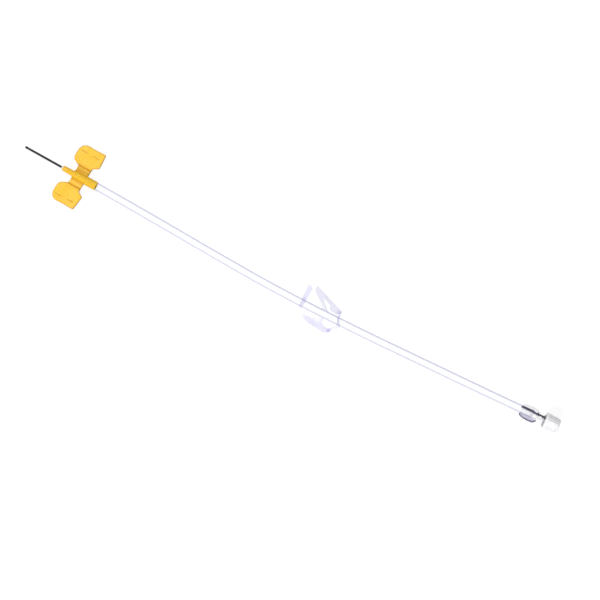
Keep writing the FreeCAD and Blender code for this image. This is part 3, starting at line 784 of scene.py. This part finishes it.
def plate_outline(node):
    """The closed outline of a plate's upper face, in metres, counterclockwise from above."""
    mesh = NODES[node].data
    top = max(vertex.co.z for vertex in mesh.vertices)
    edges = {}
    for face in mesh.polygons:
        if face.normal.z > 0.99 and abs(face.center.z - top) < 1e-6:
            for a, b in face.edge_keys:
                edges[(a, b)] = edges.get((a, b), 0) + 1
    ring = {}
    for a, b in (key for key, count in edges.items() if count == 1):
        ring.setdefault(a, []).append(b)
        ring.setdefault(b, []).append(a)
    first = min(ring)
    order = [first, ring[first][0]]
    while order[-1] != first:
        order.append(next(v for v in ring[order[-1]] if v != order[-2]))
    points = [mesh.vertices[v].co.xy.copy() for v in order[:-1]]
    area = sum(a.x * b.y - b.x * a.y for a, b in pairs_round(points))
    points = points if area > 0 else points[::-1]
    return straightened(points)


def straightened(points):
    """The outline without points that lie on a straight run or on top of each other."""
    kept = []
    for i, here in enumerate(points):
        before, after = here - points[i - 1], points[(i + 1) % len(points)] - here
        if before.length > 1e-6 and abs(before.normalized().cross(after.normalized())) > 0.01:
            kept.append(here)
    return kept


def softened(points, radius, least):
    """The outline with its corners rounded, apart from those with no room for a radius of least."""
    corners = []
    for i, here in enumerate(points):
        before, after = points[i - 1] - here, points[(i + 1) % len(points)] - here
        run = min(before.length, after.length)
        reach = min(radius, 0.45 * run * math.tan(before.angle(after) / 2))
        corners.append((here, reach if run > SHORT_RUN and reach > least else 0))
    return rounded(corners, 12)


def inset(points, distance):
    """The outline moved inwards by distance."""
    moved = []
    for i, here in enumerate(points):
        before = (here - points[i - 1]).normalized()
        after = (points[(i + 1) % len(points)] - here).normalized()
        sides = Vector((-before.y, before.x)) + Vector((-after.y, after.x))
        moved.append(here + sides * (distance / max(1 + before.dot(after), 0.35)))
    return moved


def plate(name, points, low, high, edge, rim=0):
    """A flat plate whose upper and lower edges are rounded by the radius edge.

    With a rim, each flat face is cut in two, a rim of that width and the rest.
    """
    rings = [(edge + rim, low)] if rim else []
    for k in range(EDGE_STEPS + 1):
        turn = math.pi / 2 * k / EDGE_STEPS
        rings.append((edge * (1 - math.sin(turn)), low + edge * (1 - math.cos(turn))))
    rings += [(depth, low + high - z) for depth, z in rings[::-1]]
    count = len(points)
    vertices = []
    for depth, z in rings:
        vertices += [(p.x, p.y, z) for p in inset(points, depth)]
    mesh = mesh_from(name, vertices, ring_ends(len(rings), count) + ring_sides(len(rings), count))
    for face in mesh.polygons[:2]:
        face.use_smooth = False
    mesh.set_sharp_from_angle(angle=math.radians(38))
    return mesh


def joined(mesh, tool, operation):
    """The mesh after a boolean with the mesh tool."""
    base, other = new_object("base", mesh), new_object("other", tool)
    step = base.modifiers.new("step", "BOOLEAN")
    step.operation = operation
    step.solver = "EXACT"
    step.object = other
    bpy.context.view_layer.update()
    result = shape_of(base)
    for spare in (base, other):
        bpy.data.objects.remove(spare)
    return result


def lathe(name, profile, around, place):
    """A profile of pairs (along, radius) in millimetres, turned about the X axis of place."""
    vertices = []
    for along, radius in profile:
        for k in range(around):
            angle = 2 * math.pi * k / around
            point = Vector((along, radius * math.cos(angle), radius * math.sin(angle))) * MM
            vertices.append(place @ point)
    faces = ring_ends(len(profile), around) + ring_sides(len(profile), around)
    mesh = mesh_from(name, vertices, faces)
    face_outwards(mesh)
    mesh.set_sharp_from_angle(angle=math.radians(38))
    return mesh


def clamp_plate(node, name, corner, edge):
    """A plate with the outline and the height of a CAD node."""
    low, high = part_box(node)
    outline = softened(plate_outline(node), corner, 1.2 * edge)
    return plate(name, outline, low[2], high[2], edge)


frame_mesh = clamp_plate("clamp_frame", "frame_plate", FRAME_CORNER, FRAME_EDGE)
frame_mesh = joined(frame_mesh, lathe("clamp_hole", CLAMP_HOLE, 48, CLAMP_PLACE), "DIFFERENCE")
clamp_frame = finish_piece(
    "clamp_frame_moulding", frame_mesh, [FRAME, FAINT], "clamp", "clamp_frame"
)
for face, along, across, up in local_faces(frame_mesh, CLAMP_PLACE):
    if math.hypot(across, up) < HOLE_WALL:
        face.material_index = 1
lever_mesh = clamp_plate("clamp_lever", "lever_plate", LEVER_CORNER, LEVER_EDGE)
clamp_lever = finish_piece(
    "clamp_lever_moulding", lever_mesh, [LEVER], "lever", "clamp_lever"
)


# Connector: a turned barrel, waist and luer with two flat fins and two lugs, hollow all through
BARREL, WAIST, LUER = 2.7, 2.0, 3.15
SEAT, FLOW = 2.38, 1.3
SEAT_END, LUER_FLOOR, CONNECTOR_LENGTH = 7.6, 14.9, 22.4
CONNECTOR_OUTSIDE = [
    (0, BARREL - 0.25),
    (0.08, BARREL - 0.08),
    (0.25, BARREL),
    (9.9, BARREL),
    (10.15, BARREL - 0.1),
    (10.65, WAIST + 0.1),
    (11.0, WAIST),
    (13.9, WAIST),
    (14.3, WAIST + 0.3),
    (14.75, LUER - 0.08),
    (15.0, LUER),
    (22.25, LUER),
    (CONNECTOR_LENGTH, LUER - 0.15),
]
CONNECTOR_INSIDE = [
    (-0.5, SEAT),
    (SEAT_END, SEAT),
    (SEAT_END, 2.1),
    (10.2, 1.75),
    (10.6, FLOW),
    (LUER_FLOOR, FLOW),
    (LUER_FLOOR, 1.92),
    (CONNECTOR_LENGTH, 2.145),
    (CONNECTOR_LENGTH + 0.5, 2.16),
]
CONNECTOR_AROUND = 64
FIN_SHIFT = 0.35
FIN_STEPS = [
    ((0, 3.2), 1.1),
    ((2.4, 4.2), 2.0),
    ((6.2, 4.5), 8.0),
    ((9.2, 4.32), 2.0),
    ((10.6, 3.2), 1.2),
    ((11.2, 2.0), 1.1),
]
FIN_THICKNESS, FIN_EDGE, FIN_RIM_WIDTH = 1.4, 0.62, 0.42
LUG_CORNERS = [(-1.6, -3.45), (-0.8, -3.75), (0.8, -3.75), (1.6, -3.45)]
LUG_LENGTH, LUG_RADIUS, LUG_EDGE = 1.8, 0.2, 0.15


def fin_plate():
    """One plate through the barrel, whose two sides are the fins."""
    corners = [((w, v - FIN_SHIFT), radius) for (w, v), radius in reversed(FIN_STEPS)]
    corners += [((w, -v - FIN_SHIFT), radius) for (w, v), radius in FIN_STEPS]
    flat = [(CONNECTOR_PLACE @ (point.to_3d() * MM)).xy for point in rounded(corners)]
    middle = CONNECTOR_PLACE.translation.z
    half = FIN_THICKNESS / 2 * MM
    return plate("fin_plate", flat, middle - half, middle + half, FIN_EDGE * MM, FIN_RIM_WIDTH * MM)


def lug_bar():
    """One bar across the luer's end, whose two ends are the lugs."""
    corners = [(corner, LUG_RADIUS) for corner in LUG_CORNERS]
    corners += [((-x, -y), LUG_RADIUS) for x, y in LUG_CORNERS]
    flat = [point * MM for point in rounded(corners)]
    low, high = (CONNECTOR_LENGTH - LUG_LENGTH) * MM, CONNECTOR_LENGTH * MM
    bar = plate("lug_bar", flat, low, high, LUG_EDGE * MM)
    # carries the bar's X, Y and Z on to the connector's Y, Z and X
    upright = Matrix(((0, 0, 1, 0), (1, 0, 0, 0), (0, 1, 0, 0), (0, 0, 0, 1)))
    bar.transform(CONNECTOR_PLACE @ upright)
    return bar


connector_mesh = lathe("connector_turned", CONNECTOR_OUTSIDE, CONNECTOR_AROUND, CONNECTOR_PLACE)
for part in (fin_plate(), lug_bar()):
    connector_mesh = joined(connector_mesh, part, "UNION")
connector_flow = lathe("connector_flow", CONNECTOR_INSIDE, CONNECTOR_AROUND, CONNECTOR_PLACE)
connector_mesh = joined(connector_mesh, connector_flow, "DIFFERENCE")
connector_mesh.set_sharp_from_angle(angle=math.radians(25))
CONNECTOR_FILMS = [CLEAR, SEAT_SHADED_SIDE, FIN, FIN_RIM, FAINT, SEAT_LOW, NECK, NECK_LOW]
connector = finish_piece(
    "connector_moulding", connector_mesh, CONNECTOR_FILMS, "hub_and_tube", "connector"
)
to_local = CONNECTOR_PLACE.inverted()
mark_side(connector_mesh, [(to_local @ vertex.co).y / MM / BARREL for vertex in connector_mesh.vertices])

# Where one film of the connector ends and the next begins, in millimetres
SHADE_END = 10.3
NECK_FLOOR = LUER_FLOOR - 0.1
FIN_END = 11.3
FLOW_WALL, NECK_WALL, SEAT_WALL = FLOW + 0.3, WAIST + 0.7, SEAT + 0.05
FIN_ROOT, FIN_FACE = BARREL - 0.3, FIN_THICKNESS / 2 + 0.001
FIN_MIDDLE_AREA = 4 * MM * MM


def connector_film(along, across, up, lengthways, area):
    """The film for a face, by its place, by how far it faces along the axis and by its area."""
    radius = math.hypot(across, up)
    if lengthways > 0.9 or SHADE_END < along < LUER_FLOOR and radius < FLOW_WALL:
        return FAINT
    if SHADE_END < along < NECK_FLOOR and radius < NECK_WALL:
        # painted shade: the +Y side gets the darker film and the -Y side its lighter copy
        return NECK if across > 0 else NECK_LOW
    if along < SHADE_END and radius < SEAT_WALL:
        return SEAT_SHADED_SIDE if across > 0 else SEAT_LOW
    if along < FIN_END and abs(up) <= FIN_FACE and abs(across) > FIN_ROOT:
        return FIN if area > FIN_MIDDLE_AREA else FIN_RIM
    return CLEAR


for face, along, across, up in local_faces(connector_mesh, CONNECTOR_PLACE):
    lengthways = abs((to_local.to_3x3() @ face.normal).x)
    film = connector_film(along, across, up, lengthways, face.area)
    face.material_index = CONNECTOR_FILMS.index(film)


# Hub and adhesive: they keep their CAD shape
dress("hub", AMBER_THICK)
dress("adhesive_bead", ADHESIVE)

# Cannula: drawn steel, and a lighter steel on the faces that slope forwards and up, as the bevel does,
# which paints a highlight on the ground bevel
cannula = dress("cannula", STEEL)
cannula.data.materials.append(BEVEL_HIGHLIGHT)
for face in cannula.data.polygons:
    if -0.95 < face.normal.x < -0.1 and face.normal.z > 0.1:
        face.material_index = 1

# Cap: painted shade, a greyer white in the grooves of its +Y side and at the mouth's -Y side, in the
# connector's millimetres
CAP_START, CAP_MOUTH, CAP_GROOVES = 15.1, 0.5, 16.4
CAP_RIM_RADIUS, CAP_FALL = 4.75, 0.0517
GROOVE_RADIUS, GROOVE_DEPTH = 4.0, 0.06
SHADED_GROOVES_ACROSS, SHADED_MOUTH_ACROSS = 0.5, -2.6
cap = dress("cap", WHITE)
cap.data.materials.append(WHITE_SHADE)
for face, along, across, up in local_faces(cap.data, CONNECTOR_PLACE):
    lands = CAP_RIM_RADIUS - CAP_FALL * (along - CAP_START)
    in_groove = along > CAP_GROOVES and GROOVE_RADIUS < math.hypot(across, up) < lands - GROOVE_DEPTH
    at_mouth = along < CAP_START + CAP_MOUTH
    if in_groove and across > SHADED_GROOVES_ACROSS or at_mouth and across < SHADED_MOUTH_ACROSS:
        face.material_index = 1


# Floor: bright to the camera and in reflections, and dim for all else that it lights
MIDDLE = (0.14, 0, 0)
FLOOR_X, FLOOR_Y, FLOOR_HEIGHT = (-2, 2.3), (-2, 2), -0.00005
FAR_GLOW, NEAR_GLOW, DIM_GLOW = 1.0, 0.8, 0.15
LAMPLIT_REACH = 1.4
floor_corners = [
    (FLOOR_X[i], FLOOR_Y[k], FLOOR_HEIGHT) for i, k in ((0, 0), (1, 0), (1, 1), (0, 1))
]
floor_mesh = mesh_from("floor", floor_corners, [(0, 1, 2, 3)], smooth=False)
floor = new_object("floor", floor_mesh)
floor_material, tree = new_material("floor_white")
path = add(tree, "ShaderNodeLightPath").outputs
seen = combined(tree, "MAXIMUM", path["Is Glossy Ray"], path["Is Transmission Ray"])
seen = combined(tree, "MAXIMUM", path["Is Camera Ray"], seen)
plain = add(tree, "ShaderNodeBsdfDiffuse", {"Color": (0.25, 0.25, 0.25, 1)}).outputs[0]
# it glows less near the part, where the lamps add their light
own = level(tree, near(tree, MIDDLE[:2], LAMPLIT_REACH), FAR_GLOW, NEAR_GLOW)
bright = combined(tree, "MAXIMUM", combined(tree, "MULTIPLY", seen, own), DIM_GLOW)
glow = add(tree, "ShaderNodeEmission", {"Color": (1, 1, 1, 1), "Strength": bright}).outputs[0]
finish_surface(tree, add(tree, "ShaderNodeAddShader", {0: plain, 1: glow}).outputs[0])
floor_mesh.materials.append(floor_material)

# Light: an even room, one broad soft lamp and a weaker one across from it
world = bpy.data.worlds.new("studio")
bpy.context.scene.world = world
world.use_nodes = True
tree = world.node_tree
tree.nodes.clear()
path = add(tree, "ShaderNodeLightPath").outputs
room = add(tree, "ShaderNodeBackground", {"Color": (0.86, 0.86, 0.9, 1), "Strength": 0.42}).outputs[0]
backdrop = add(tree, "ShaderNodeBackground", {"Color": (1, 1, 1, 1), "Strength": 1.0}).outputs[0]
either = mixed_shader(tree, path["Is Camera Ray"], room, backdrop)
add(tree, "ShaderNodeOutputWorld", {"Surface": either})


def soft_lamp(name, place, size, power):
    """A round lamp of that size at place, turned to the middle of the part."""
    data = bpy.data.lights.new(name, "AREA")
    data.shape = "DISK"
    data.size = size
    data.energy = power
    lamp = new_object(name, data)
    lamp.location = place
    lamp.rotation_euler = (Vector(MIDDLE) - Vector(place)).to_track_quat("-Z", "Y").to_euler()


soft_lamp("key_lamp", (0.2, -0.95, 0.75), 0.7, 10.8)
soft_lamp("fill_lamp", (-0.35, 0.6, 0.85), 0.6, 6.5)
